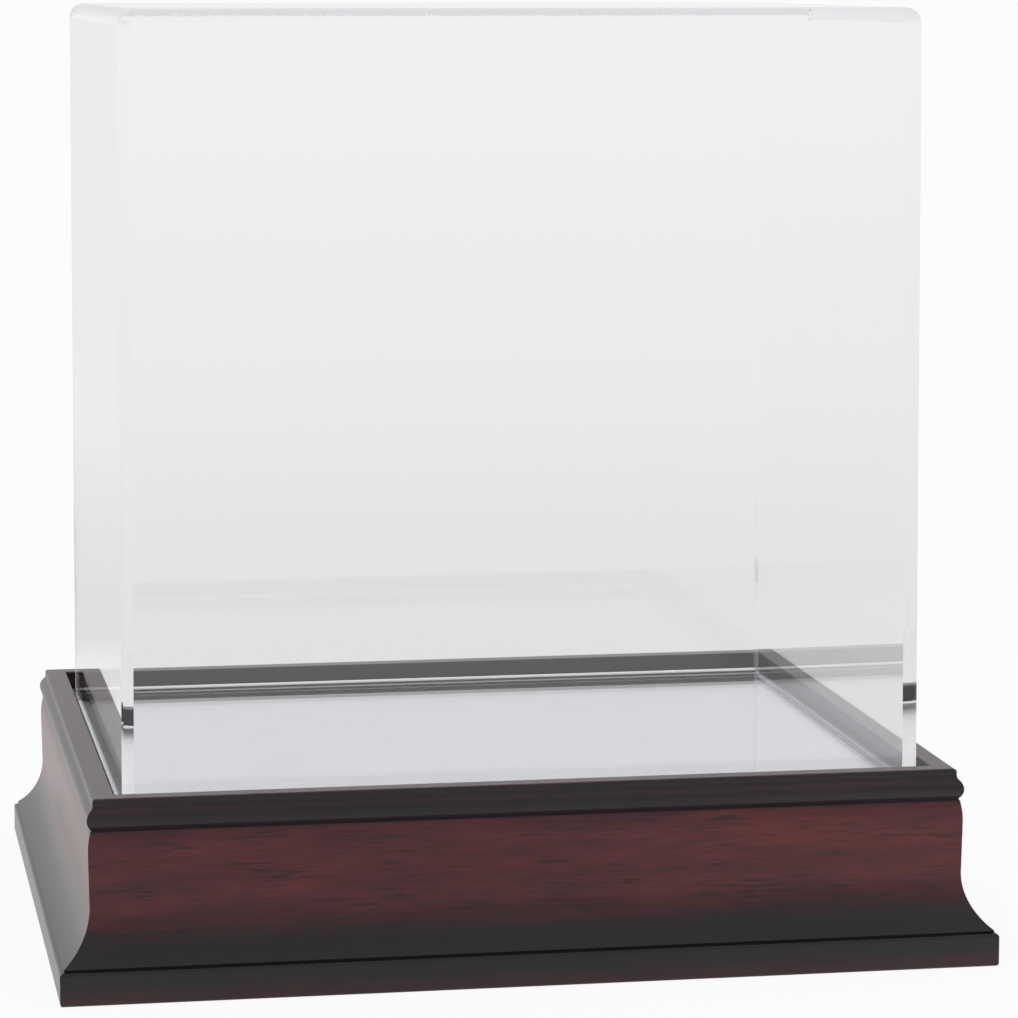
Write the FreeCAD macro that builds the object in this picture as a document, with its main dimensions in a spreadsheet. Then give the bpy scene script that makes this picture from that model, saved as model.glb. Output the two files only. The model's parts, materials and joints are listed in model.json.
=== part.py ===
import FreeCAD, Part
import os
import Sketcher

# Table-top display case: a mitred wood base with a mirror floor and a clear acrylic cover
# that stands loose inside the base's rim.
# Millimetres. Origin at the middle of the base's underside, +X right, +Y back, +Z up.

DIMENSIONS = {
    # overall
    "base_width": 225.0,
    "base_depth": 195.0,
    "base_height": 47.0,
    "case_height": 229.0,
    # moulding profile: "in" is measured inwards from the plinth's face, "up" from the underside
    "foot_round": 0.9,
    "plinth_face_up": 7.2,
    "plinth_top_in": 0.75,
    "plinth_top_up": 8.0,
    "plinth_round": 0.85,
    "lower_quirk_in": 1.12,
    "lower_quirk_up": 8.2,
    "cove_foot_in": 0.95,
    "cove_foot_up": 8.65,
    "cove_radius": 16.5,
    "neck_in": 7.55,
    "neck_up": 23.0,
    "belly_in": 7.35,
    "belly_up": 34.5,
    "shoulder_in": 7.95,
    "shoulder_up": 39.35,
    "shoulder_radius": 21.0,
    "upper_quirk_in": 8.25,
    "upper_quirk_up": 39.7,
    "bead_foot_in": 8.1,
    "bead_foot_up": 40.0,
    "bead_radius": 3.0,
    "bead_top_in": 8.157,
    "bead_top_up": 44.394,
    "hollow_radius": 1.5,
    "fillet_in": 8.65,
    "fillet_foot_up": 45.51,
    "rim_round": 0.8,
    "rim_inner_in": 14.0,
    "lip_round": 0.4,
    "moulding_back_in": 22.0,
    "bottom_rebate_in": 15.0,
    "bottom_rebate_up": 4.0,
    "mitre_overrun": 5.0,
    # floor of the case
    "recess_depth": 4.1,
    "mirror_margin": 0.6,
    "mirror_thickness": 3.0,
    "mirror_arris": 0.15,
    "tape_thickness": 1.0,
    "tape_width": 18.0,
    "tape_length": 140.0,
    "tape_pitch": 52.0,
    "deck_thickness": 6.0,
    "board_clearance": 0.3,
    # underside
    "bottom_board_thickness": 3.0,
    "felt_thickness": 0.8,
    "felt_clearance": 1.0,
    "block_leg": 26.0,
    # fasteners
    "nail_leg": 6.0,
    "nail_gauge": 0.6,
    "nail_height": 7.0,
    "nail_sunk": 0.4,
    "nail_outer_in": 4.0,
    "nail_inner_in": 9.5,
    "countersink_angle": 90.0,
    "screw_head_diameter": 6.4,
    "screw_head_height": 1.5,
    "screw_shank_diameter": 3.4,
    "screw_tip_length": 3.0,
    "screw_length": 18.0,
    "deck_screw_in": 18.0,
    "deck_screw_spread": 52.0,
    "block_screw_in": 30.0,
    # acrylic cover, a little narrower at the top than at its foot
    "cover_foot_width": 192.6,
    "cover_top_width": 190.4,
    "cover_depth": 160.0,
    "sheet_thickness": 3.0,
    "bend_radius": 4.0,
    "cement_gap": 0.08,
    "panel_arris": 0.4,
}

SHEET = "dims"
doc = FreeCAD.newDocument("display_case")
sheet = doc.addObject("Spreadsheet::Sheet", SHEET)
for row, (alias, number) in enumerate(DIMENSIONS.items(), start=1):
    sheet.set(f"A{row}", alias)
    sheet.set(f"B{row}", str(number))
    sheet.setAlias(f"B{row}", alias)
doc.recompute()


class Size:
    """A length that carries its number and the sheet expression that gives it."""

    def __init__(self, text, value):
        self.text = text
        self.value = value

    def __add__(self, other):
        other = as_size(other)
        return Size(f"({self.text} + {other.text})", self.value + other.value)

    def __sub__(self, other):
        other = as_size(other)
        return Size(f"({self.text} - {other.text})", self.value - other.value)

    def __mul__(self, factor):
        return Size(f"({self.text} * {factor})", self.value * factor)

    def __truediv__(self, factor):
        return Size(f"({self.text} / {factor})", self.value / factor)

    def __neg__(self):
        return self * -1


def as_size(length):
    return length if isinstance(length, Size) else Size(str(float(length)), float(length))


def dim(alias):
    return Size(f"{SHEET}.{alias}", DIMENSIONS[alias])


ZERO = as_size(0.0)
HALF_WIDTH = dim("base_width") / 2
HALF_DEPTH = dim("base_depth") / 2
MIRROR_TOP = dim("base_height") - dim("recess_depth")
MIRROR_UNDERSIDE = MIRROR_TOP - dim("mirror_thickness")
DECK_TOP = MIRROR_UNDERSIDE - dim("tape_thickness")
LEDGE_UP = DECK_TOP - dim("deck_thickness")
BOARD_UNDERSIDE = dim("bottom_rebate_up") - dim("bottom_board_thickness")
LEAST_CUT = 1.0  # cubic millimetres that every pocket or hole must take away

subparts = []


def new_body(label):
    body = doc.addObject("PartDesign::Body", label)
    body.Label = label
    body.AllowCompound = True
    subparts.append(body)
    return body


def bind(thing, prop, size):
    thing.setExpression(prop, size.text)


def new_sketch(body, name, role, offset=ZERO):
    """A sketch on one of the body's own origin planes, moved along the plane's normal by offset."""
    sketch = body.newObject("Sketcher::SketchObject", f"{body.Name}_{name}")
    planes = [feature for feature in body.Origin.OriginFeatures if feature.Role == role]
    sketch.AttachmentSupport = [(planes[0], "")]
    sketch.MapMode = "FlatFace"
    bind(sketch, "AttachmentOffset.Base.z", offset)
    return sketch


def constrain(sketch, kind, geometry, end, size):
    """Fix one coordinate of a point, or a radius, and bind it to the sheet."""
    if kind in ("Radius", "Diameter"):
        index = sketch.addConstraint(Sketcher.Constraint(kind, geometry, size.value))
    else:
        index = sketch.addConstraint(Sketcher.Constraint(kind, -1, 1, geometry, end, size.value))
    bind(sketch, f"Constraints[{index}]", size)


def arc_between(start, finish, radius):
    """The short arc from start to finish. A positive radius turns left on the way, a negative one right."""
    chord = finish - start
    middle = (start + finish) * 0.5
    left = FreeCAD.Vector(-chord.y, chord.x, 0).normalize()
    reach = (radius ** 2 - (chord.Length / 2) ** 2) ** 0.5
    side = 1 if radius > 0 else -1
    centre = middle + left * (side * reach)
    top = centre + (middle - centre).normalize() * abs(radius)
    return Part.Arc(start, top, finish)


def outline(sketch, corners, arcs=None):
    """A closed outline through corners, each a pair of sizes. arcs gives the radius of the stretch
    that leaves a corner, by that corner's number; every other stretch is straight."""
    arcs = arcs or {}
    count = len(corners)
    points = [FreeCAD.Vector(across.value, along.value, 0) for across, along in corners]
    ends = []
    for number in range(count):
        start, finish = points[number], points[(number + 1) % count]
        if number not in arcs:
            ends.append((sketch.addGeometry(Part.LineSegment(start, finish)), 1, 2))
            continue
        radius = arcs[number]
        index = sketch.addGeometry(arc_between(start, finish, radius.value))
        ends.append((index, 1, 2) if radius.value > 0 else (index, 2, 1))
    for number in range(count):
        following = ends[(number + 1) % count]
        sketch.addConstraint(
            Sketcher.Constraint("Coincident", ends[number][0], ends[number][2], following[0], following[1])
        )
    for (geometry, first, last), (across, along) in zip(ends, corners):
        constrain(sketch, "DistanceX", geometry, first, across)
        constrain(sketch, "DistanceY", geometry, first, along)
    for number, radius in arcs.items():
        constrain(sketch, "Radius", ends[number][0], 0, radius if radius.value > 0 else -radius)


def rectangle(sketch, left, right, low, high):
    outline(sketch, [(left, low), (right, low), (right, high), (left, high)])


def circle(sketch, across, along, diameter):
    centre = FreeCAD.Vector(across.value, along.value, 0)
    index = sketch.addGeometry(Part.Circle(centre, FreeCAD.Vector(0, 0, 1), diameter.value / 2))
    constrain(sketch, "DistanceX", index, 3, across)
    constrain(sketch, "DistanceY", index, 3, along)
    constrain(sketch, "Diameter", index, 0, diameter)


def pad(body, sketch, length, symmetric=False):
    feature = body.newObject("PartDesign::Pad", f"{sketch.Name}_pad")
    feature.Profile = sketch
    bind(feature, "Length", length)
    feature.SideType = "Symmetric" if symmetric else "One side"
    doc.recompute()
    return feature


def pocket_up(body, sketch, depth=None):
    """Cut upwards from the sketch, by a depth or right through, and make sure that wood came away."""
    before = body.Shape.Volume
    feature = body.newObject("PartDesign::Pocket", f"{sketch.Name}_pocket")
    feature.Profile = sketch
    feature.Reversed = True
    if depth is None:
        feature.Type = "ThroughAll"
    else:
        bind(feature, "Length", depth)
    doc.recompute()
    if body.Shape.Volume > before - LEAST_CUT:
        raise RuntimeError(f"{feature.Name} cut nothing")
    return feature


def countersunk_holes(body, sketch, from_below=False):
    """Through holes with a countersink that fit the wood screws."""
    before = body.Shape.Volume
    feature = body.newObject("PartDesign::Hole", f"{sketch.Name}_hole")
    feature.Profile = sketch
    feature.DepthType = "ThroughAll"
    feature.Threaded = False
    bind(feature, "Diameter", dim("screw_shank_diameter"))
    feature.HoleCutType = "Countersink"
    feature.HoleCutCustomValues = True
    bind(feature, "HoleCutDiameter", dim("screw_head_diameter"))
    bind(feature, "HoleCutCountersinkAngle", dim("countersink_angle"))
    feature.Reversed = from_below
    doc.recompute()
    if body.Shape.Volume > before - LEAST_CUT:
        raise RuntimeError(f"{feature.Name} cut nothing")
    return feature


def face_towards(feature, direction):
    """The name of the flat face that lies furthest along direction."""
    faces = feature.Shape.Faces
    best = max(range(len(faces)), key=lambda number: faces[number].CenterOfMass.dot(direction))
    return f"Face{best + 1}"


def break_arris(body, feature, direction, size):
    """A small chamfer round the face that looks along direction."""
    chamfer = body.newObject("PartDesign::Chamfer", f"{feature.Name}_arris")
    chamfer.Base = (feature, [face_towards(feature, direction)])
    bind(chamfer, "Size", size)
    doc.recompute()
    return chamfer


def moulding_profile(sketch, half_span):
    """The moulding's section: plinth, quirk, cove, belly, quirk, bead, hollow, fillet and flat rim
    outside; the deck's rebate, the back and the bottom board's rebate inside."""

    def point(inward, up):
        return (inward - half_span, up)

    height = dim("base_height")
    corners = [
        point(dim("foot_round"), ZERO),
        point(dim("bottom_rebate_in"), ZERO),
        point(dim("bottom_rebate_in"), dim("bottom_rebate_up")),
        point(dim("moulding_back_in"), dim("bottom_rebate_up")),
        point(dim("moulding_back_in"), LEDGE_UP),
        point(dim("rim_inner_in"), LEDGE_UP),
        point(dim("rim_inner_in"), height - dim("lip_round")),
        point(dim("rim_inner_in") - dim("lip_round"), height),
        point(dim("fillet_in") + dim("rim_round"), height),
        point(dim("fillet_in"), height - dim("rim_round")),
        point(dim("fillet_in"), dim("fillet_foot_up")),
        point(dim("bead_top_in"), dim("bead_top_up")),
        point(dim("bead_foot_in"), dim("bead_foot_up")),
        point(dim("upper_quirk_in"), dim("upper_quirk_up")),
        point(dim("shoulder_in"), dim("shoulder_up")),
        point(dim("belly_in"), dim("belly_up")),
        point(dim("neck_in"), dim("neck_up")),
        point(dim("cove_foot_in"), dim("cove_foot_up")),
        point(dim("lower_quirk_in"), dim("lower_quirk_up")),
        point(dim("plinth_top_in"), dim("plinth_top_up")),
        point(ZERO, dim("plinth_face_up")),
        point(ZERO, dim("foot_round")),
    ]
    arcs = {
        6: dim("lip_round"),
        8: dim("rim_round"),
        10: -dim("hollow_radius"),
        11: dim("bead_radius"),
        14: dim("shoulder_radius"),
        16: -dim("cove_radius"),
        19: dim("plinth_round"),
        21: dim("foot_round"),
    }
    outline(sketch, corners, arcs)


def nail_arm(sketch, corner_x, corner_y, side_x, inward):
    """The slot of one nail's arm in the moulding along X: it starts at the mitre and runs inwards."""
    left = corner_x - inward * side_x
    right = left - dim("nail_leg") * side_x
    low = corner_y + inward
    rectangle(sketch, left, right, low, low + dim("nail_gauge"))


def make_moulding(label, length, half_span, turn):
    """One mitred length, drawn as the front one and turned about Z to its own side."""
    body = new_body(label)
    profile = new_sketch(body, "profile", "YZ_Plane")
    moulding_profile(profile, half_span)
    pad(body, profile, length, symmetric=True)

    mitres = new_sketch(body, "mitres", "XY_Plane")
    reach = dim("moulding_back_in") + dim("mitre_overrun")
    for side in (-1, 1):
        end = length / 2 * side
        outer = -half_span
        outline(
            mitres,
            [(end, outer), (end, outer + reach), (end - reach * side, outer + reach)],
        )
    pocket_up(body, mitres)

    slots = new_sketch(body, "nail_slots", "XY_Plane")
    for side in (-1, 1):
        for inward in (dim("nail_outer_in"), dim("nail_inner_in")):
            nail_arm(slots, length / 2 * side, -half_span, side, inward)
    pocket_up(body, slots, dim("nail_height") + dim("nail_sunk"))

    pilots = new_sketch(body, "pilots", "XY_Plane", LEDGE_UP - (dim("screw_length") - dim("deck_thickness")))
    for side in (-1, 1):
        circle(pilots, dim("deck_screw_spread") * side, dim("deck_screw_in") - half_span,
               dim("screw_shank_diameter"))
    pocket_up(body, pilots)
    body.Placement = FreeCAD.Placement(FreeCAD.Vector(), FreeCAD.Rotation(FreeCAD.Vector(0, 0, 1), turn))
    return body


def make_nails():
    """Angle nails across each mitre, two to a corner, sunk just below the underside."""
    body = new_body("mitre_v_nails")
    plan = new_sketch(body, "plan", "XY_Plane", dim("nail_sunk"))
    leg, gauge = dim("nail_leg"), dim("nail_gauge")
    for side_x in (-1, 1):
        for side_y in (-1, 1):
            for inward in (dim("nail_outer_in"), dim("nail_inner_in")):
                apex_x, apex_y = HALF_WIDTH - inward, HALF_DEPTH - inward
                steps = [(ZERO, ZERO), (leg, ZERO), (leg, gauge), (gauge, gauge), (gauge, leg), (ZERO, leg)]
                outline(plan, [((apex_x - dx) * side_x, (apex_y - dy) * side_y) for dx, dy in steps])
    pad(body, plan, dim("nail_height"))


def deck_screw_places():
    """The deck's screws: two along each moulding, over the middle of its ledge."""
    spread, inward = dim("deck_screw_spread"), dim("deck_screw_in")
    places = []
    for side in (-1, 1):
        for end in (-1, 1):
            places.append((spread * end, (HALF_DEPTH - inward) * side))
            places.append(((HALF_WIDTH - inward) * side, spread * end))
    return places


def block_screw_places():
    """The bottom board's screws: one up into each corner block."""
    inward = dim("block_screw_in")
    return [
        ((HALF_WIDTH - inward) * side_x, (HALF_DEPTH - inward) * side_y)
        for side_x in (-1, 1)
        for side_y in (-1, 1)
    ]


def make_board(label, inward, low, thickness, screws=(), from_below=False):
    """A flat board that fills the frame up to inward of the plinth's face, with its screw holes."""
    body = new_body(label)
    plan = new_sketch(body, "plan", "XY_Plane", low)
    rectangle(plan, inward - HALF_WIDTH, HALF_WIDTH - inward, inward - HALF_DEPTH, HALF_DEPTH - inward)
    feature = pad(body, plan, thickness)
    if screws:
        holes = new_sketch(body, "holes", "XY_Plane", low if from_below else low + thickness)
        for across, along in screws:
            circle(holes, across, along, dim("screw_shank_diameter"))
        doc.recompute()
        countersunk_holes(body, holes, from_below)
    return body, feature


def make_mirror():
    """The mirror plate, cut a little larger than the foot of the cover that stands on it."""
    body = new_body("mirror_plate")
    plan = new_sketch(body, "plan", "XY_Plane", MIRROR_UNDERSIDE)
    half_width = dim("cover_foot_width") / 2 + dim("mirror_margin")
    half_depth = dim("cover_depth") / 2 + dim("mirror_margin")
    rectangle(plan, -half_width, half_width, -half_depth, half_depth)
    feature = pad(body, plan, dim("mirror_thickness"))
    break_arris(body, feature, FreeCAD.Vector(0, 0, 1), dim("mirror_arris"))


def make_tape():
    """Strips of double-sided tape under the mirror."""
    body = new_body("mirror_tape")
    plan = new_sketch(body, "plan", "XY_Plane", DECK_TOP)
    half_length, half_strip = dim("tape_length") / 2, dim("tape_width") / 2
    for step in (-1, 0, 1):
        middle = dim("tape_pitch") * step
        rectangle(plan, -half_length, half_length, middle - half_strip, middle + half_strip)
    pad(body, plan, dim("tape_thickness"))


def make_corner_block(label, side_x, side_y):
    """A three-cornered glue block behind a mitre, from the bottom board up to the deck."""
    body = new_body(label)
    plan = new_sketch(body, "plan", "XY_Plane", dim("bottom_rebate_up"))
    inner_x = (HALF_WIDTH - dim("moulding_back_in")) * side_x
    inner_y = (HALF_DEPTH - dim("moulding_back_in")) * side_y
    leg = dim("block_leg")
    outline(plan, [(inner_x, inner_y), (inner_x - leg * side_x, inner_y), (inner_x, inner_y - leg * side_y)])
    pad(body, plan, LEDGE_UP - dim("bottom_rebate_up"))
    pilot = new_sketch(body, "pilot", "XY_Plane", dim("bottom_rebate_up"))
    inward = dim("block_screw_in")
    circle(pilot, (HALF_WIDTH - inward) * side_x, (HALF_DEPTH - inward) * side_y, dim("screw_shank_diameter"))
    pocket_up(body, pilot, dim("screw_length") - dim("bottom_board_thickness"))


def make_screw(name, across, along, head_up, points_down):
    """A countersunk wood screw with its head's flat at head_up."""
    head_radius, shank_radius = dim("screw_head_diameter") / 2, dim("screw_shank_diameter") / 2
    straight = dim("screw_length") - dim("screw_head_height") - dim("screw_tip_length")
    head = doc.addObject("Part::Cone", f"{name}_head")
    bind(head, "Radius1", head_radius)
    bind(head, "Radius2", shank_radius)
    bind(head, "Height", dim("screw_head_height"))
    shank = doc.addObject("Part::Cylinder", f"{name}_shank")
    bind(shank, "Radius", shank_radius)
    bind(shank, "Height", straight)
    bind(shank, "Placement.Base.z", dim("screw_head_height"))
    tip = doc.addObject("Part::Cone", f"{name}_tip")
    bind(tip, "Radius1", shank_radius)
    tip.Radius2 = 0.0
    bind(tip, "Height", dim("screw_tip_length"))
    bind(tip, "Placement.Base.z", dim("screw_head_height") + straight)
    screw = doc.addObject("Part::MultiFuse", name)
    screw.Shapes = [head, shank, tip]
    screw.Refine = True
    if points_down:
        screw.Placement.Rotation = FreeCAD.Rotation(FreeCAD.Vector(1, 0, 0), 180)
    bind(screw, "Placement.Base.x", across)
    bind(screw, "Placement.Base.y", along)
    bind(screw, "Placement.Base.z", head_up)
    return screw


def make_screws(label, places, head_up, points_down):
    group = doc.addObject("Part::Compound", label)
    group.Label = label
    group.Links = [
        make_screw(f"{label}_{number}", across, along, head_up, points_down)
        for number, (across, along) in enumerate(places, start=1)
    ]
    subparts.append(group)
    doc.recompute()


def make_cover_wrap():
    """One sheet bent twice: left wall, top and right wall."""
    body = new_body("cover_wrap")
    section = new_sketch(body, "section", "XZ_Plane")
    foot, half = dim("cover_foot_width") / 2, dim("cover_top_width") / 2
    top, bend, sheet_size = dim("case_height"), dim("bend_radius"), dim("sheet_thickness")
    inner_bend = bend - sheet_size
    inner_foot, inner, ceiling = foot - sheet_size, half - sheet_size, top - sheet_size
    corners = [
        (foot, MIRROR_TOP),
        (half, top - bend),
        (half - bend, top),
        (bend - half, top),
        (-half, top - bend),
        (-foot, MIRROR_TOP),
        (-inner_foot, MIRROR_TOP),
        (-inner, ceiling - inner_bend),
        (inner_bend - inner, ceiling),
        (inner - inner_bend, ceiling),
        (inner, ceiling - inner_bend),
        (inner_foot, MIRROR_TOP),
    ]
    outline(section, corners, {1: bend, 3: bend, 7: -inner_bend, 9: -inner_bend})
    pad(body, section, dim("cover_depth") - (sheet_size + dim("cement_gap")) * 2, symmetric=True)


def make_cover_panel(label, side):
    """A flat end panel of the cover, with its top corners rounded to the bends of the wrap."""
    body = new_body(label)
    face = new_sketch(body, "face", "XZ_Plane")
    foot, half = dim("cover_foot_width") / 2, dim("cover_top_width") / 2
    top, bend = dim("case_height"), dim("bend_radius")
    corners = [
        (-foot, MIRROR_TOP),
        (foot, MIRROR_TOP),
        (half, top - bend),
        (half - bend, top),
        (bend - half, top),
        (-half, top - bend),
    ]
    outline(face, corners, {2: bend, 4: bend})
    feature = pad(body, face, dim("sheet_thickness"), symmetric=True)
    break_arris(body, feature, FreeCAD.Vector(0, side, 0), dim("panel_arris"))
    bind(body, "Placement.Base.y", (dim("cover_depth") - dim("sheet_thickness")) / 2 * side)


make_moulding("front_moulding", dim("base_width"), HALF_DEPTH, 0)
make_moulding("right_moulding", dim("base_depth"), HALF_WIDTH, 90)
make_moulding("back_moulding", dim("base_width"), HALF_DEPTH, 180)
make_moulding("left_moulding", dim("base_depth"), HALF_WIDTH, 270)
make_nails()

make_board("deck_board", dim("rim_inner_in") + dim("board_clearance"), LEDGE_UP, dim("deck_thickness"),
           deck_screw_places())
make_screws("deck_screws", deck_screw_places(), DECK_TOP, points_down=True)
make_tape()
make_mirror()

for name_y, side_y in (("front", -1), ("back", 1)):
    for name_x, side_x in (("left", -1), ("right", 1)):
        make_corner_block(f"corner_block_{name_y}_{name_x}", side_x, side_y)
make_board("bottom_board", dim("bottom_rebate_in") + dim("board_clearance"), BOARD_UNDERSIDE,
           dim("bottom_board_thickness"), block_screw_places(), from_below=True)
make_screws("bottom_screws", block_screw_places(), BOARD_UNDERSIDE, points_down=False)
make_board("felt_sheet", dim("bottom_rebate_in") + dim("felt_clearance"),
           BOARD_UNDERSIDE - dim("felt_thickness"), dim("felt_thickness"))

make_cover_wrap()
make_cover_panel("cover_front_panel", -1)
make_cover_panel("cover_back_panel", 1)

doc.recompute()
failed = [thing.Name for thing in doc.Objects if "Invalid" in thing.State or "Error" in thing.State]
if failed:
    raise RuntimeError(f"failed objects: {failed}")
for part in subparts:
    if part.Shape.isNull() or not part.Shape.isValid() or not part.Shape.Solids:
        raise RuntimeError(f"{part.Label} has no valid solid")

os.makedirs("parts", exist_ok=True)
for part in subparts:
    part.Shape.exportStep(f"parts/{part.Label}.step")
    box = part.Shape.BoundBox
    print(f"{part.Label}: {len(part.Shape.Solids)} solid(s), {part.Shape.Volume / 1000:.2f} cm3, "
          f"x {box.XMin:.2f} to {box.XMax:.2f}, y {box.YMin:.2f} to {box.YMax:.2f}, "
          f"z {box.ZMin:.2f} to {box.ZMax:.2f}")
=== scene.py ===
# %% [markdown]
# A table-top display case: a mitred mahogany-finish base with a mirror floor, under a clear acrylic cover.
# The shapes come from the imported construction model, which is loaded first and stays where it is.
# This file gives the case its finishes, adds what only the eye needs, and sets up a small white studio.

# %% Load the construction model
import json
import math

import bpy
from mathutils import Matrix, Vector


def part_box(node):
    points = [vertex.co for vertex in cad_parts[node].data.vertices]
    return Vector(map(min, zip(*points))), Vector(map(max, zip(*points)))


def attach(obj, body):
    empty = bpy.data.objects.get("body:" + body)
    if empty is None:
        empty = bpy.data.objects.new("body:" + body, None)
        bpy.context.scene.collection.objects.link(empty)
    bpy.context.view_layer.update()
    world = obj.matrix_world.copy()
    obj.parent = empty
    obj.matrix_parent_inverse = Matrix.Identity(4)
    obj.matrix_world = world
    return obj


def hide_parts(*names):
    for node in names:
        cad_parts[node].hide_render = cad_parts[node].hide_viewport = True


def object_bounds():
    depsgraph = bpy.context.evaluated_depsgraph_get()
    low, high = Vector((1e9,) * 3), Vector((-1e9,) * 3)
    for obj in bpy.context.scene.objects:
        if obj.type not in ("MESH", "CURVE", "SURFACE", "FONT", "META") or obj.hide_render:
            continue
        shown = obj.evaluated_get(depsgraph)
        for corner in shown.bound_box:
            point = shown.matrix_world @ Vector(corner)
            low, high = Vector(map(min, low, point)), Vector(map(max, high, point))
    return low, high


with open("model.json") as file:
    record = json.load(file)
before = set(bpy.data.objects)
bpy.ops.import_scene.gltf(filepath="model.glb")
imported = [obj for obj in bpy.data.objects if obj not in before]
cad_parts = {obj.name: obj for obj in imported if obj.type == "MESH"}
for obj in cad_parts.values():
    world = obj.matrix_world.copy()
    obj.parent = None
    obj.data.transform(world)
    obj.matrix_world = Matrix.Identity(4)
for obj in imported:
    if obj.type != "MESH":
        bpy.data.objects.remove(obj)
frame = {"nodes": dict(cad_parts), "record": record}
cad_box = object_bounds()
MM = 0.001
scene = bpy.context.scene

# %% [markdown]
# A few small helpers serve every step. Colours are written as the eye picks them, in sRGB hex, but Blender
# shades in linear light, so one function converts them. A pattern is written by its real size, and one
# function turns that into a scale. Another adds a shader node, fills in its settings, sockets and ramp
# stops, and joins its links, so that a material reads as a list of what it is made of.

# %% Colour, pattern and node helpers
def linear(hex_colour):
    """An sRGB hex colour as linear red, green, blue and full alpha."""
    parts = [int(hex_colour[i:i + 2], 16) / 255 for i in (1, 3, 5)]
    return [c / 12.92 if c <= 0.04045 else ((c + 0.055) / 1.055) ** 2.4 for c in parts] + [1.0]


def pattern_scale(*sizes_mm):
    """How often a pattern of these sizes, in millimetres along X, Y and Z, repeats in a metre."""
    return [1 / (size * MM) for size in sizes_mm]


def new_material(name):
    """An empty node material and its tree."""
    material = bpy.data.materials.new(name)
    material.use_nodes = True
    material.node_tree.nodes.clear()
    return material, material.node_tree


def add_node(tree, kind, sockets=None, links=None, stops=(), **settings):
    """A new node with its settings, the values of its sockets and the outputs that feed its sockets. The
    stops of a colour ramp are pairs of a place and a linear colour."""
    node = tree.nodes.new(kind)
    for name, value in settings.items():
        setattr(node, name, value)
    for name, value in (sockets or {}).items():
        node.inputs[name].default_value = value
    for name, output in (links or {}).items():
        tree.links.new(output, node.inputs[name])
    for _ in stops[2:]:
        node.color_ramp.elements.new(0.5)
    for number, (place, colour) in enumerate(stops):
        node.color_ramp.elements[number].position = place
        node.color_ramp.elements[number].color = colour
    return node


print("mid grey in linear light:", [round(c, 3) for c in linear("#808080")])

# %% [markdown]
# The loaded nodes are loose flat triangles, which would show the steps of every curve in a glossy finish.
# A piece with curves is therefore copied, its corners merged, its flat triangles dissolved back into whole
# faces, and its curves shaded smooth. The copy then stands for the node, at the same place and size.

# %% A smooth copy of a node
MERGE_WITHIN = 0.001 * MM
FLAT_WITHIN = math.radians(0.2)
SMOOTH_BELOW = math.radians(28)


def select_only(obj):
    """Leaves one object selected and active."""
    bpy.ops.object.select_all(action="DESELECT")
    obj.select_set(True)
    bpy.context.view_layer.objects.active = obj


def smooth_copy(node_name, piece_name, body):
    """A merged, smooth-shaded copy of a node, which stands for it and rides on its body."""
    piece = bpy.data.objects.new(piece_name, frame["nodes"][node_name].data.copy())
    scene.collection.objects.link(piece)
    piece.data.materials.clear()
    select_only(piece)
    bpy.ops.mesh.customdata_custom_splitnormals_clear()
    bpy.ops.object.mode_set(mode="EDIT")
    bpy.ops.mesh.select_all(action="SELECT")
    bpy.ops.mesh.remove_doubles(threshold=MERGE_WITHIN)
    bpy.ops.mesh.dissolve_limited(angle_limit=FLAT_WITHIN)
    bpy.ops.object.mode_set(mode="OBJECT")
    bpy.ops.object.shade_smooth_by_angle(angle=SMOOTH_BELOW)
    weighted = piece.modifiers.new("flat_faces_stay_flat", "WEIGHTED_NORMAL")
    weighted.keep_sharp = True
    bpy.ops.object.modifier_apply(modifier=weighted.name)
    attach(piece, body)
    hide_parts(node_name)
    print(piece_name, "faces:", len(piece.data.polygons))
    return piece


mouldings = {side: smooth_copy(side + "_moulding", "moulding_" + side, "base")
             for side in ("front", "back", "left", "right")}
cover_sheets = [smooth_copy("cover_wrap", "cover_bent_sheet", "cover"),
                smooth_copy("cover_front_panel", "cover_front_sheet", "cover"),
                smooth_copy("cover_back_panel", "cover_back_sheet", "cover")]

# %% [markdown]
# The base is moulded wood with a mahogany finish: a dark red stain with short black pores drawn out along
# the grain, then a black toner sprayed over the plinth, the foot of the hollow and the bead, then satin
# lacquer. All of it can be made from Object coordinates, because the toner follows the height and the grain
# follows the length of each moulding. The grain runs along X on the front and back and along Y on the sides,
# so the pattern is turned for those.

# %% Mahogany finish
BASE_HEIGHT = 47 * MM
# Heights in millimetres, each with the share of the stain that the toner covers there.
TONER_BY_HEIGHT = [
    (0.0, 0.62), (2.1, 0.73), (3.7, 0.88), (5.3, 0.97), (6.5, 1.0), (11.5, 1.0), (13.5, 0.9), (15.0, 0.73),
    (18.0, 0.38), (20.5, 0.12), (24.0, 0.0), (34.0, 0.0), (38.2, 0.08), (39.1, 0.28), (39.4, 0.9),
    (41.2, 0.93), (42.5, 0.96), (43.7, 0.86), (44.5, 0.83), (45.3, 0.97), (46.2, 0.96), (46.6, 0.9),
    (46.95, 0.7),
]


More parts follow.
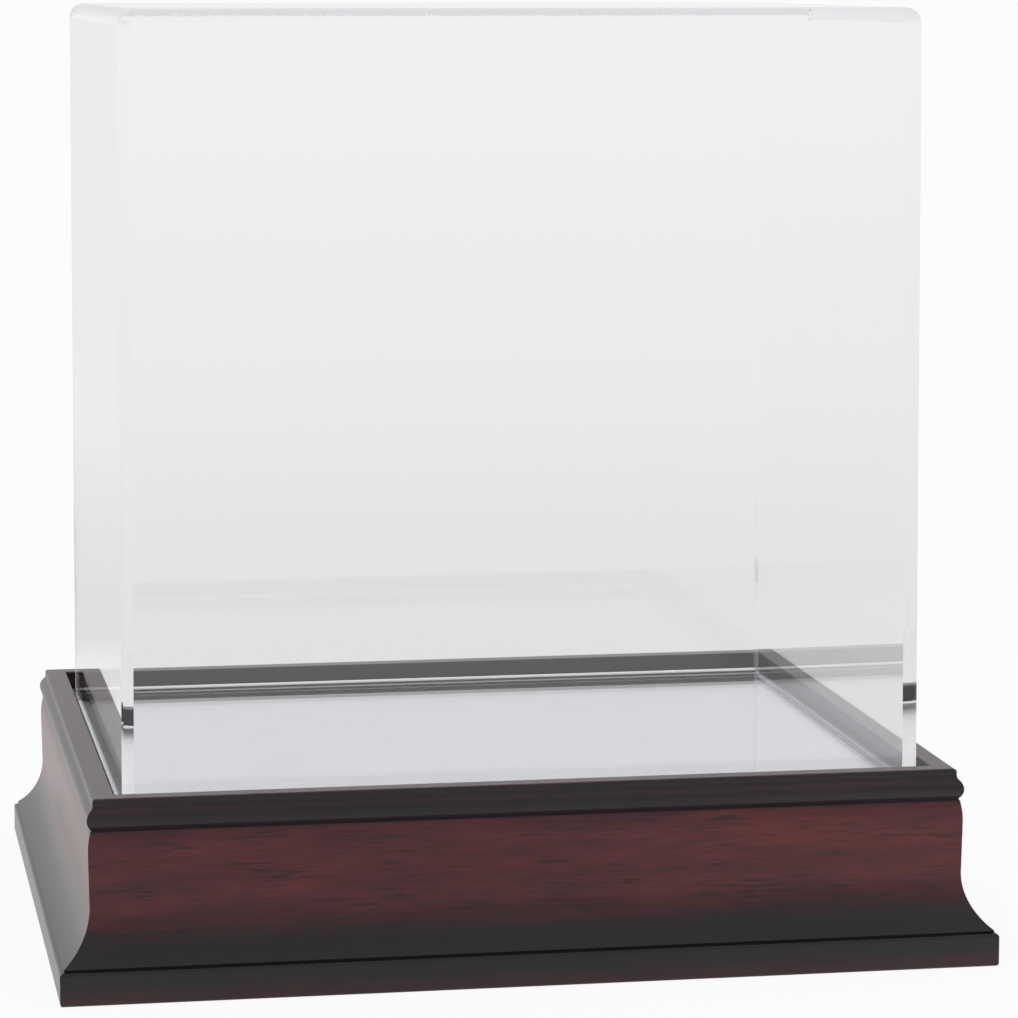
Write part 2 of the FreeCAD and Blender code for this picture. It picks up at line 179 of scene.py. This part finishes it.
def mahogany_finish(name, turn):
    """Stained and toned mahogany whose grain runs along X, turned about Z by an angle in degrees."""
    material, tree = new_material(name)
    place = add_node(tree, "ShaderNodeTexCoord")
    along = add_node(tree, "ShaderNodeMapping", {"Rotation": (0, 0, math.radians(turn))},
                     {"Vector": place.outputs["Object"]})

    # The fibres wander by about a millimetre over a hand's width.
    wander = add_node(tree, "ShaderNodeTexNoise", {"Scale": 1 / (45 * MM), "Detail": 1.0},
                      {"Vector": along.outputs["Vector"]})
    drift = add_node(tree, "ShaderNodeVectorMath", {1: (0.0, 3.5 * MM, 3.5 * MM)},
                     {0: wander.outputs["Color"], 2: along.outputs["Vector"]}, operation="MULTIPLY_ADD")

    # Pores: strokes about 9 mm long and a third of a millimetre high.
    pore_space = add_node(tree, "ShaderNodeMapping", {"Scale": pattern_scale(9, 1.5, 0.6)},
                          {"Vector": drift.outputs["Vector"]})
    pores = add_node(tree, "ShaderNodeTexNoise", {"Scale": 1.0, "Detail": 2.5, "Roughness": 0.55},
                     {"Vector": pore_space.outputs["Vector"]})
    stroke = add_node(tree, "ShaderNodeMapRange", {"From Min": 0.5, "From Max": 0.69},
                      {"Value": pores.outputs["Fac"]})

    # They come in clusters about 24 mm long and 4 mm high.
    cluster_space = add_node(tree, "ShaderNodeMapping", {"Scale": pattern_scale(24, 8, 4)},
                             {"Vector": drift.outputs["Vector"]})
    clusters = add_node(tree, "ShaderNodeTexNoise", {"Scale": 1.0, "Detail": 1.0},
                        {"Vector": cluster_space.outputs["Vector"]})
    density = add_node(tree, "ShaderNodeMapRange",
                       {"From Min": 0.35, "From Max": 0.65, "To Min": 0.2, "To Max": 1.0},
                       {"Value": clusters.outputs["Fac"]})
    pore_share = add_node(tree, "ShaderNodeMath", None,
                          {0: stroke.outputs["Result"], 1: density.outputs["Result"]}, operation="MULTIPLY")

    # Figure: orange-red and wine-red patches a few centimetres long.
    figure_space = add_node(tree, "ShaderNodeMapping", {"Scale": pattern_scale(35, 12, 5)},
                            {"Vector": drift.outputs["Vector"]})
    figure = add_node(tree, "ShaderNodeTexNoise", {"Scale": 1.0, "Detail": 5.0, "Roughness": 0.65},
                      {"Vector": figure_space.outputs["Vector"]})
    stain = add_node(tree, "ShaderNodeValToRGB", links={"Fac": figure.outputs["Fac"]},
                     stops=[(0.3, linear("#441820")), (0.5, linear("#571e24")), (0.7, linear("#672720"))])
    with_pores = add_node(tree, "ShaderNodeMix", {7: linear("#1f1113")},
                          {0: pore_share.outputs["Value"], 6: stain.outputs["Color"]}, data_type="RGBA")

    # Toner: black spray by height, fading softly up the hollow.
    height = add_node(tree, "ShaderNodeSeparateXYZ", links={"Vector": place.outputs["Object"]})
    share = add_node(tree, "ShaderNodeMapRange", {"From Max": BASE_HEIGHT}, {"Value": height.outputs["Z"]})
    toner = add_node(tree, "ShaderNodeValToRGB", links={"Fac": share.outputs["Result"]},
                     stops=[(mm * MM / BASE_HEIGHT, [part, part, part, 1]) for mm, part in TONER_BY_HEIGHT])
    toned = add_node(tree, "ShaderNodeMix", {7: linear("#141419")},
                     {0: toner.outputs["Color"], 6: with_pores.outputs[2]}, data_type="RGBA")

    dent = add_node(tree, "ShaderNodeBump", {"Strength": 0.1, "Distance": 0.04 * MM},
                    {"Height": pores.outputs["Fac"]})
    lacquer = add_node(tree, "ShaderNodeBsdfPrincipled", {"Roughness": 0.3, "IOR": 1.46},
                       {"Base Color": toned.outputs[2], "Normal": dent.outputs["Normal"]})
    add_node(tree, "ShaderNodeOutputMaterial", links={"Surface": lacquer.outputs["BSDF"]})
    return material


finish_long = mahogany_finish("mahogany_satin_long_grain", 0)
finish_side = mahogany_finish("mahogany_satin_side_grain", 90)
for side, piece in mouldings.items():
    piece.data.materials.append(finish_long if side in ("front", "back") else finish_side)
    print(piece.name, "is", piece.data.materials[0].name)

# %% [markdown]
# The cover is clear cast acrylic, which bends light nearly as much as glass. Lamp light should pass it, so
# shadow rays see a plain transparent sheet; every other ray is refracted and reflected as in the real sheet.
# Its faces and side edges are polished, but the edge that it stands on was only sawn, so that one is matt.
# Where two sheets meet, solvent cement has welded them: light goes straight on there, only stirred by small
# bubbles.

# %% Clear acrylic, polished, sawn and cemented
ACRYLIC_IOR = 1.49
CEMENT_IOR = 1.006
# The haze that a polishing cloth leaves: so slight that the sheet still mirrors and refracts sharply.
WIPE_HAZE = 0.0006


def clear_acrylic(name, rough_from, rough_to, ior=ACRYLIC_IOR, bubbles=0.0):
    """Clear acrylic that lets lamp light through, with a roughness that varies between two values."""
    material, tree = new_material(name)
    place = add_node(tree, "ShaderNodeTexCoord")
    wipe = add_node(tree, "ShaderNodeTexNoise", {"Scale": 1 / (14 * MM), "Detail": 3.0},
                    {"Vector": place.outputs["Object"]})
    polish = add_node(tree, "ShaderNodeMapRange",
                      {"From Min": 0.55, "From Max": 0.8, "To Min": rough_from, "To Max": rough_to},
                      {"Value": wipe.outputs["Fac"]})
    sheet = add_node(tree, "ShaderNodeBsdfPrincipled",
                     {"Base Color": linear("#fefeff"), "IOR": ior, "Transmission Weight": 1.0},
                     {"Roughness": polish.outputs["Result"]})
    if bubbles:
        space = add_node(tree, "ShaderNodeMapping", {"Scale": pattern_scale(0.7, 0.03, 0.9)},
                         {"Vector": place.outputs["Object"]})
        froth = add_node(tree, "ShaderNodeTexNoise", {"Scale": 1.0, "Detail": 1.0},
                         {"Vector": space.outputs["Vector"]})
        ripple = add_node(tree, "ShaderNodeBump", {"Strength": bubbles, "Distance": 0.5 * MM},
                          {"Height": froth.outputs["Fac"]})
        tree.links.new(ripple.outputs["Normal"], sheet.inputs["Normal"])
    passing = add_node(tree, "ShaderNodeBsdfTransparent", {"Color": linear("#f6f6f6")})
    ray = add_node(tree, "ShaderNodeLightPath")
    seen = add_node(tree, "ShaderNodeMixShader", None,
                    {"Fac": ray.outputs["Is Shadow Ray"], 1: sheet.outputs["BSDF"],
                     2: passing.outputs["BSDF"]})
    add_node(tree, "ShaderNodeOutputMaterial", links={"Surface": seen.outputs["Shader"]})
    return material


acrylic = clear_acrylic("cast_acrylic_polished", 0.0, WIPE_HAZE)
sawn_edge = clear_acrylic("cast_acrylic_sawn_edge", 0.18, 0.3)
cement = clear_acrylic("acrylic_solvent_cement", 0.0, WIPE_HAZE, ior=CEMENT_IOR, bubbles=0.2)
POLISHED, SAWN, CEMENTED = range(3)
for piece in cover_sheets:
    for finish in (acrylic, sawn_edge, cement):
        piece.data.materials.append(finish)
    print(piece.name, "finishes:", len(piece.data.materials))

# %% [markdown]
# A sawn edge rests on its high spots, so a hair of air stays between it and the mirror. That air matters to
# the eye: without it light would leave the sheet through its foot instead of being led along the wall. The
# foot of each sheet is found by its place and its normal, lifted by that hair, and given the sawn finish.

# %% Foot of the cover
FOOT_GAP = 0.06 * MM
# A face counts as square to an axis when at least this much of its normal lies along it.
SQUARE_ON = 0.99


def pick_faces(piece, wanted):
    """Selects the faces of a piece that pass a test, in edit mode, and returns how many there are."""
    select_only(piece)
    bpy.context.tool_settings.mesh_select_mode = (False, False, True)
    bpy.ops.object.mode_set(mode="EDIT")
    bpy.ops.mesh.select_all(action="DESELECT")
    bpy.ops.object.mode_set(mode="OBJECT")
    faces = [face for face in piece.data.polygons if wanted(face)]
    for face in faces:
        face.select = True
    bpy.ops.object.mode_set(mode="EDIT")
    return len(faces)


for piece in cover_sheets:
    lowest = min(vertex.co.z for vertex in piece.data.vertices)
    count = pick_faces(piece, lambda face: face.normal.z < -SQUARE_ON and face.center.z < lowest + FOOT_GAP)
    piece.active_material_index = SAWN
    bpy.ops.object.material_slot_assign()
    bpy.ops.transform.translate(value=(0, 0, FOOT_GAP))
    bpy.ops.object.mode_set(mode="OBJECT")
    lifted = min(vertex.co.z for vertex in piece.data.vertices)
    print(piece.name, "foot faces:", count, "foot now at", round(lifted / MM, 2))

# %% [markdown]
# The bent sheet meets the two flat ones with its cut ends. On the flat sheets the cemented strip is as wide
# as the sheet is thick and follows the outline except along the foot, so the inner face is inset by that
# thickness and the lower edge of the inset is pushed back down to the foot.

# %% Cemented edges
SHEET = 3.0 * MM
LEVEL_WITHIN = 0.1 * MM
SLIVER = 0.01 * MM
bent_sheet, front_sheet, back_sheet = cover_sheets
count = pick_faces(bent_sheet, lambda face: abs(face.normal.y) > SQUARE_ON)
bent_sheet.active_material_index = CEMENTED
bpy.ops.object.material_slot_assign()
bpy.ops.object.mode_set(mode="OBJECT")
print(bent_sheet.name, "cemented ends:", count)

for piece, inward in ((front_sheet, 1), (back_sheet, -1)):
    pick_faces(piece, lambda face: face.normal.y * inward > SQUARE_ON)
    piece.active_material_index = CEMENTED
    bpy.ops.object.material_slot_assign()
    bpy.ops.mesh.inset(thickness=SHEET)
    piece.active_material_index = POLISHED
    bpy.ops.object.material_slot_assign()
    bpy.ops.object.mode_set(mode="OBJECT")
    middle = [face for face in piece.data.polygons if face.select][0]
    corners = [piece.data.vertices[i] for i in middle.vertices]
    foot_of_inset = min(corner.co.z for corner in corners)
    for part in [*piece.data.vertices, *piece.data.edges, *piece.data.polygons]:
        part.select = False
    lowered = [corner for corner in corners if corner.co.z < foot_of_inset + LEVEL_WITHIN]
    for corner in lowered:
        corner.select = True
    bpy.context.tool_settings.mesh_select_mode = (True, False, False)
    bpy.ops.object.mode_set(mode="EDIT")
    bpy.ops.transform.translate(value=(0, 0, -SHEET))
    bpy.ops.mesh.select_all(action="SELECT")
    bpy.ops.mesh.dissolve_degenerate(threshold=SLIVER)
    bpy.ops.object.mode_set(mode="OBJECT")
    strip = [face for face in piece.data.polygons if face.material_index == CEMENTED]
    print(piece.name, "corners lowered:", len(lowered), "cemented faces:", len(strip),
          "area in cm2:", round(sum(face.area for face in strip) * 1e4, 2))

# %% [markdown]
# The floor inside the rim is a mirror silvered on its underside, so the eye meets clear plate first and the
# metal 3 mm deeper, which doubles every edge that it reflects. The plate is copied so that its cut edges can
# be dark, as the paint that seals the back of a mirror is brushed round them. The silver is a new piece: the
# plate's lower face, kept short of the cut edge and given a film's thickness.

# %% Mirror plate and its silvering
FILM_LIFT = 0.03 * MM
FILM_MARGIN = 0.1 * MM
FILM_THICKNESS = 0.02 * MM
plate = smooth_copy("mirror_plate", "mirror_glass", "base")
plate.data.materials.append(clear_acrylic("mirror_plate_clear", 0.0, WIPE_HAZE))
plate_low, plate_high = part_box("mirror_plate")

bpy.ops.object.select_all(action="DESELECT")
bpy.ops.mesh.primitive_plane_add(size=1, location=(0, 0, plate_low.z + FILM_LIFT))
silver = bpy.context.object
silver.name = silver.data.name = "mirror_silvering"
silver.scale = (plate_high.x - plate_low.x, plate_high.y - plate_low.y, 1)
bpy.ops.object.transform_apply(location=True, rotation=True, scale=True)
bpy.context.tool_settings.mesh_select_mode = (False, False, True)
bpy.ops.object.mode_set(mode="EDIT")
bpy.ops.mesh.select_all(action="SELECT")
bpy.ops.mesh.inset(thickness=FILM_MARGIN)
bpy.ops.mesh.select_all(action="INVERT")
bpy.ops.mesh.delete(type="FACE")
bpy.ops.object.mode_set(mode="OBJECT")
film = silver.modifiers.new("film", "SOLIDIFY")
film.thickness = FILM_THICKNESS
bpy.ops.object.modifier_apply(modifier=film.name)

material, tree = new_material("mirror_silver_film")
place = add_node(tree, "ShaderNodeTexCoord")
cloud = add_node(tree, "ShaderNodeTexNoise", {"Scale": 1 / (20 * MM), "Detail": 2.0},
                 {"Vector": place.outputs["Object"]})
deposit = add_node(tree, "ShaderNodeValToRGB", links={"Fac": cloud.outputs["Fac"]},
                   stops=[(0.3, linear("#f0f1f3")), (0.7, linear("#f2f3f5"))])
metal = add_node(tree, "ShaderNodeBsdfPrincipled", {"Metallic": 1.0, "Roughness": 0.0},
                 {"Base Color": deposit.outputs["Color"]})
add_node(tree, "ShaderNodeOutputMaterial", links={"Surface": metal.outputs["BSDF"]})
silver.data.materials.append(material)
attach(silver, "base")
print("silver film:", [round(v / MM, 2) for v in silver.dimensions])

# %% [markdown]
# What lies inside the base is plain workshop stock: fibreboard for the deck, stained where it shows round
# the mirror, and for the bottom, softwood glue blocks, white foam tape, black felt, and bright zinc-plated
# screws and nails. It shows only from below or taken apart, but each still gets its own surface. They differ
# in colour, in the size of their speckle and in how it is drawn out, so one function makes them all, and the
# mirror's edges too. Felt fibres and foam cells are too fine to show, so their speckle is drawn coarser.

# %% Inner stock
def speckled(name, light, dark, grain_mm, rough, metallic=0.0, bump_mm=0.05):
    """A surface whose colour wavers between two tones, with a speckle of a given size along X, Y and Z."""
    material, tree = new_material(name)
    place = add_node(tree, "ShaderNodeTexCoord")
    space = add_node(tree, "ShaderNodeMapping", {"Scale": pattern_scale(*grain_mm)},
                     {"Vector": place.outputs["Object"]})
    speckle = add_node(tree, "ShaderNodeTexNoise", {"Scale": 1.0, "Detail": 4.0, "Roughness": 0.6},
                       {"Vector": space.outputs["Vector"]})
    tone = add_node(tree, "ShaderNodeValToRGB", links={"Fac": speckle.outputs["Fac"]},
                    stops=[(0.32, linear(dark)), (0.68, linear(light))])
    dent = add_node(tree, "ShaderNodeBump", {"Strength": 0.3, "Distance": bump_mm * MM},
                    {"Height": speckle.outputs["Fac"]})
    surface = add_node(tree, "ShaderNodeBsdfPrincipled", {"Roughness": rough, "Metallic": metallic},
                       {"Base Color": tone.outputs["Color"], "Normal": dent.outputs["Normal"]})
    add_node(tree, "ShaderNodeOutputMaterial", links={"Surface": surface.outputs["BSDF"]})
    return material


INNER_STOCK = {
    "fibreboard": speckled("fibreboard_bare", "#b08c66", "#7d5b3c", (2.0, 2.0, 0.8), 0.85),
    "stained_board": speckled("fibreboard_stained", "#2e2422", "#191312", (2.0, 2.0, 0.8), 0.7),
    "block_softwood": speckled("softwood_sawn", "#dcbd8e", "#b58c58", (1.6, 1.6, 18.0), 0.8, bump_mm=0.1),
    "foam_tape": speckled("foam_tape_white", "#f2f2ee", "#d9d9d3", (0.5, 0.5, 0.5), 0.7),
    "felt": speckled("felt_black", "#2b2b2d", "#121213", (0.9, 0.35, 0.35), 0.95, bump_mm=0.2),
    "fastener_steel": speckled("zinc_plated_steel", "#d3d3cd", "#a9aaa6", (1.2, 1.2, 1.2), 0.35,
                               metallic=1.0, bump_mm=0.02),
}
for row in frame["record"]["subparts"]:
    if row["material_slot"] in INNER_STOCK:
        stock = INNER_STOCK[row["material_slot"]]
        node = frame["nodes"][row["node"]]
        node.data.materials.clear()
        node.data.materials.append(stock)
        print(row["node"], "is", stock.name)

# %% [markdown]
# The mirror's edges are the last surface of the base. Its sides carry the dark paint from the back, and the
# narrow arris round the top was ground by hand, which leaves it matt; its near-white tone is a painted
# highlight, a bright line of light put into its colour. Both are found by how far their normals lean.

# %% Edges of the mirror
UPRIGHT = 0.1
LEVEL = 0.95
plate.data.materials.append(speckled("mirror_edge_paint", "#26282a", "#141516", (0.6, 0.6, 0.6), 0.5))
# The ground arris is matt, and its near-white colour is a painted highlight.
plate.data.materials.append(speckled("mirror_arris_ground_painted_highlight", "#f4f6f6", "#dfe3e3", (0.4, 0.4, 0.4), 0.6))
EDGE_FINISHES = [("painted edge", lambda face: abs(face.normal.z) < UPRIGHT),
                 ("ground arris with painted highlight", lambda face: UPRIGHT < face.normal.z < LEVEL)]
for finish, (title, wanted) in enumerate(EDGE_FINISHES, start=1):
    count = pick_faces(plate, wanted)
    plate.active_material_index = finish
    bpy.ops.object.material_slot_assign()
    bpy.ops.object.mode_set(mode="OBJECT")
    print(title, "faces of the mirror:", count)

# %% [markdown]
# The camera stands where the photograph was taken from: a little left of the middle, just above the cover's
# top, with a long lens. Its place was worked out from the corners of the base and the cover.

# %% Camera
LENS_LENGTH = 141.66
CAMERA_PLACE = (-0.16767, -1.00342, 0.23771)
DEGREES_DOWN = 7.663
DEGREES_RIGHT = 10.042
lens = bpy.data.cameras.new("camera")
lens.lens = LENS_LENGTH
lens.sensor_width = 36
lens.clip_start = 0.01
camera = bpy.data.objects.new("camera", lens)
camera.location = CAMERA_PLACE
camera.rotation_euler = (math.radians(90 - DEGREES_DOWN), 0, math.radians(-DEGREES_RIGHT))
scene.collection.objects.link(camera)
scene.camera = camera
print("camera height in mm:", round(camera.location.z / MM, 1))

# %% [markdown]
# The studio floor is a wide sheet of pale paper. The camera sees it as white, so that the case stands out as
# on a white page, but the paper keeps part of its own shading there, and with it the shadow of the case.
# What is seen through the cover takes a smaller share of that white, a painted glow that grows with the
# distance as far as the paper's far part, which is painted darker, and a larger one well in front of the
# case. What is mirrored takes most of it beside the case, little in front of the case and little just
# behind it: painted shadow on the paper there.

# %% Floor
FLOOR_RADIUS = 40
bpy.ops.object.select_all(action="DESELECT")
bpy.ops.mesh.primitive_circle_add(vertices=96, radius=FLOOR_RADIUS, fill_type="NGON", location=(0, 0, 0))
floor = bpy.context.object
floor.name = "studio_floor"
print("floor radius in metres:", round(floor.dimensions.x / 2, 1))

# %% Floor's white, seen through the cover and mirrored
CAMERA_WHITE = 0.92
FRONT_WHITE = 0.8
# The middle of a painted shadow on the paper, in front of the case and a little left of the middle.
PAINTED_SHADOW_SPOT = (-0.03, -0.25, 0.0)
# Metres from the case, each with the share of white that a mirrored ray finds there; a low share paints
# shade.
MIRRORED_BY_DISTANCE = [(0.34, 0.9), (0.45, 0.0), (1.1, 0.55)]
# The same for a ray that has come through the cover, as far as the paper's far part, painted darker.
THROUGH_BY_DISTANCE = [(0.1, 0.15), (0.69, 0.27), (1.06, 0.42), (1.5, 0.53), (2.4, 0.61), (3.4, 0.66),
                       (5.0, 0.7), (9.0, 0.72), (18.5, 0.72), (20.0, 0.31)]
material, tree = new_material("floor_pale_paper")
ray = add_node(tree, "ShaderNodeLightPath")
place = add_node(tree, "ShaderNodeTexCoord")
away = add_node(tree, "ShaderNodeVectorMath", None, {0: place.outputs["Object"]}, operation="LENGTH")


def share_by_distance(table):
    """The share of white that a table of distances gives each point of the floor."""
    farthest = table[-1][0]
    reach = add_node(tree, "ShaderNodeMapRange", {"From Max": farthest}, {"Value": away.outputs["Value"]})
    ramp = add_node(tree, "ShaderNodeValToRGB", links={"Fac": reach.outputs["Result"]},
                    stops=[(metres / farthest, [part, part, part, 1]) for metres, part in table])
    return ramp.outputs["Color"]


spot = add_node(tree, "ShaderNodeSeparateXYZ", links={"Vector": place.outputs["Object"]})
ahead = add_node(tree, "ShaderNodeMapRange",
                 {"From Min": -0.3, "From Max": -1.0, "To Min": 0.0, "To Max": FRONT_WHITE},
                 {"Value": spot.outputs["Y"]})
through = add_node(tree, "ShaderNodeMath", None,
                   {0: share_by_distance(THROUGH_BY_DISTANCE), 1: ahead.outputs["Result"]},
                   operation="MAXIMUM")
# Painted shadow: mirrored rays find less white near that spot.
aside = add_node(tree, "ShaderNodeVectorMath", {1: PAINTED_SHADOW_SPOT}, {0: place.outputs["Object"]},
                 operation="DISTANCE")
gloss = add_node(tree, "ShaderNodeMapRange",
                 {"From Min": 0.05, "From Max": 0.2, "To Min": 0.05, "To Max": 1.0},
                 {"Value": aside.outputs["Value"]})
mirrored = add_node(tree, "ShaderNodeMath", None,
                    {0: gloss.outputs["Result"], 1: share_by_distance(MIRRORED_BY_DISTANCE)},
                    operation="MULTIPLY")
print("distances with a share of white:", len(THROUGH_BY_DISTANCE) + len(MIRRORED_BY_DISTANCE))

# %% [markdown]
# A ray that a sharp surface refracts counts as glossy too, so the share for what is seen through the cover
# and the share for what is mirrored are told apart first. The camera's own rays take a share of their own.

# %% Floor's paper under its white
either = add_node(tree, "ShaderNodeMix", None,
                  {0: ray.outputs["Is Transmission Ray"], 2: mirrored.outputs["Value"],
                   3: through.outputs["Value"]})
bent = add_node(tree, "ShaderNodeMath", None, {0: ray.outputs["Is Glossy Ray"], 1: either.outputs[0]},
                operation="MULTIPLY")
straight = add_node(tree, "ShaderNodeMath", {1: CAMERA_WHITE}, {0: ray.outputs["Is Camera Ray"]},
                    operation="MULTIPLY")
share = add_node(tree, "ShaderNodeMath", None, {0: straight.outputs["Value"], 1: bent.outputs["Value"]},
                 operation="MAXIMUM")
paper = add_node(tree, "ShaderNodeBsdfDiffuse", {"Color": linear("#efefef")})
white = add_node(tree, "ShaderNodeEmission", {"Color": linear("#ffffff"), "Strength": 1.0})
seen = add_node(tree, "ShaderNodeMixShader", None,
                {"Fac": share.outputs["Value"], 1: paper.outputs["BSDF"], 2: white.outputs["Emission"]})
add_node(tree, "ShaderNodeOutputMaterial", links={"Surface": seen.outputs["Shader"]})
floor.data.materials.append(material)
print("floor nodes:", len(tree.nodes))

# %% [markdown]
# The light is a soft sky that is a little brighter towards the back and along the horizon, with a large soft
# lamp on the left and another on the right. The camera sees the sky itself as white.

# %% Sky
world = bpy.data.worlds.new("studio_sky")
scene.world = world
world.use_nodes = True
tree = world.node_tree
tree.nodes.clear()
direction = add_node(tree, "ShaderNodeTexCoord")
parts = add_node(tree, "ShaderNodeSeparateXYZ", links={"Vector": direction.outputs["Generated"]})
back = add_node(tree, "ShaderNodeMapRange",
                {"From Min": -0.7, "From Max": 0.5, "To Min": 0.6, "To Max": 0.78},
                {"Value": parts.outputs["Y"]})
low = add_node(tree, "ShaderNodeMapRange",
               {"From Min": 0.02, "From Max": 0.1, "To Min": 1.15, "To Max": 1.0},
               {"Value": parts.outputs["Z"]})
level = add_node(tree, "ShaderNodeMath", None, {0: back.outputs["Result"], 1: low.outputs["Result"]},
                 operation="MULTIPLY")
sky = add_node(tree, "ShaderNodeBackground", {"Color": linear("#ffffff")},
               {"Strength": level.outputs["Value"]})
plain = add_node(tree, "ShaderNodeBackground", {"Color": linear("#ffffff"), "Strength": 1.0})
ray = add_node(tree, "ShaderNodeLightPath")
seen = add_node(tree, "ShaderNodeMixShader", None,
                {"Fac": ray.outputs["Is Camera Ray"], 1: sky.outputs["Background"],
                 2: plain.outputs["Background"]})
add_node(tree, "ShaderNodeOutputWorld", links={"Surface": seen.outputs["Shader"]})
print("sky nodes:", len(tree.nodes))

# %% Lamps
CASE_MIDDLE = (cad_box[0] + cad_box[1]) / 2


def soft_lamp(name, place, side, watts):
    """A square soft lamp at a place, turned to the middle of the case."""
    light = bpy.data.lights.new(name, "AREA")
    light.shape = "SQUARE"
    light.size = side
    light.energy = watts
    lamp = bpy.data.objects.new(name, light)
    lamp.location = place
    lamp.rotation_euler = (CASE_MIDDLE - lamp.location).to_track_quat("-Z", "Y").to_euler()
    scene.collection.objects.link(lamp)
    print(name, "stands", round((CASE_MIDDLE - lamp.location).length, 2), "m away")


soft_lamp("softbox_left", (-1.3, 0.4, 1.2), side=1.0, watts=4)
soft_lamp("softbox_right", (1.2, -0.7, 0.9), side=0.9, watts=5)

# %% [markdown]
# Light that is caught inside a sheet is thrown from face to face every few millimetres until it finds an
# edge, which takes some sixty turns across the cover. Light paths that end sooner would leave those edges
# black, so they are allowed many more turns than usual. Colours are shown as they are, with the plain view
# transform.

# %% Light paths and view
TURNS = 256
TRANSPARENT_TURNS = 32
scene.cycles.max_bounces = TURNS
scene.cycles.transmission_bounces = TURNS
scene.cycles.glossy_bounces = TURNS
scene.cycles.transparent_max_bounces = TRANSPARENT_TURNS
scene.view_settings.view_transform = "Standard"
print("turns of light allowed:", scene.cycles.max_bounces)

# %% [markdown]
# The looks must not change the size, so the box of the construction model is written down.

# %% Size of the construction model
print("cad box:", [[round(v / MM, 2) for v in corner] for corner in cad_box])
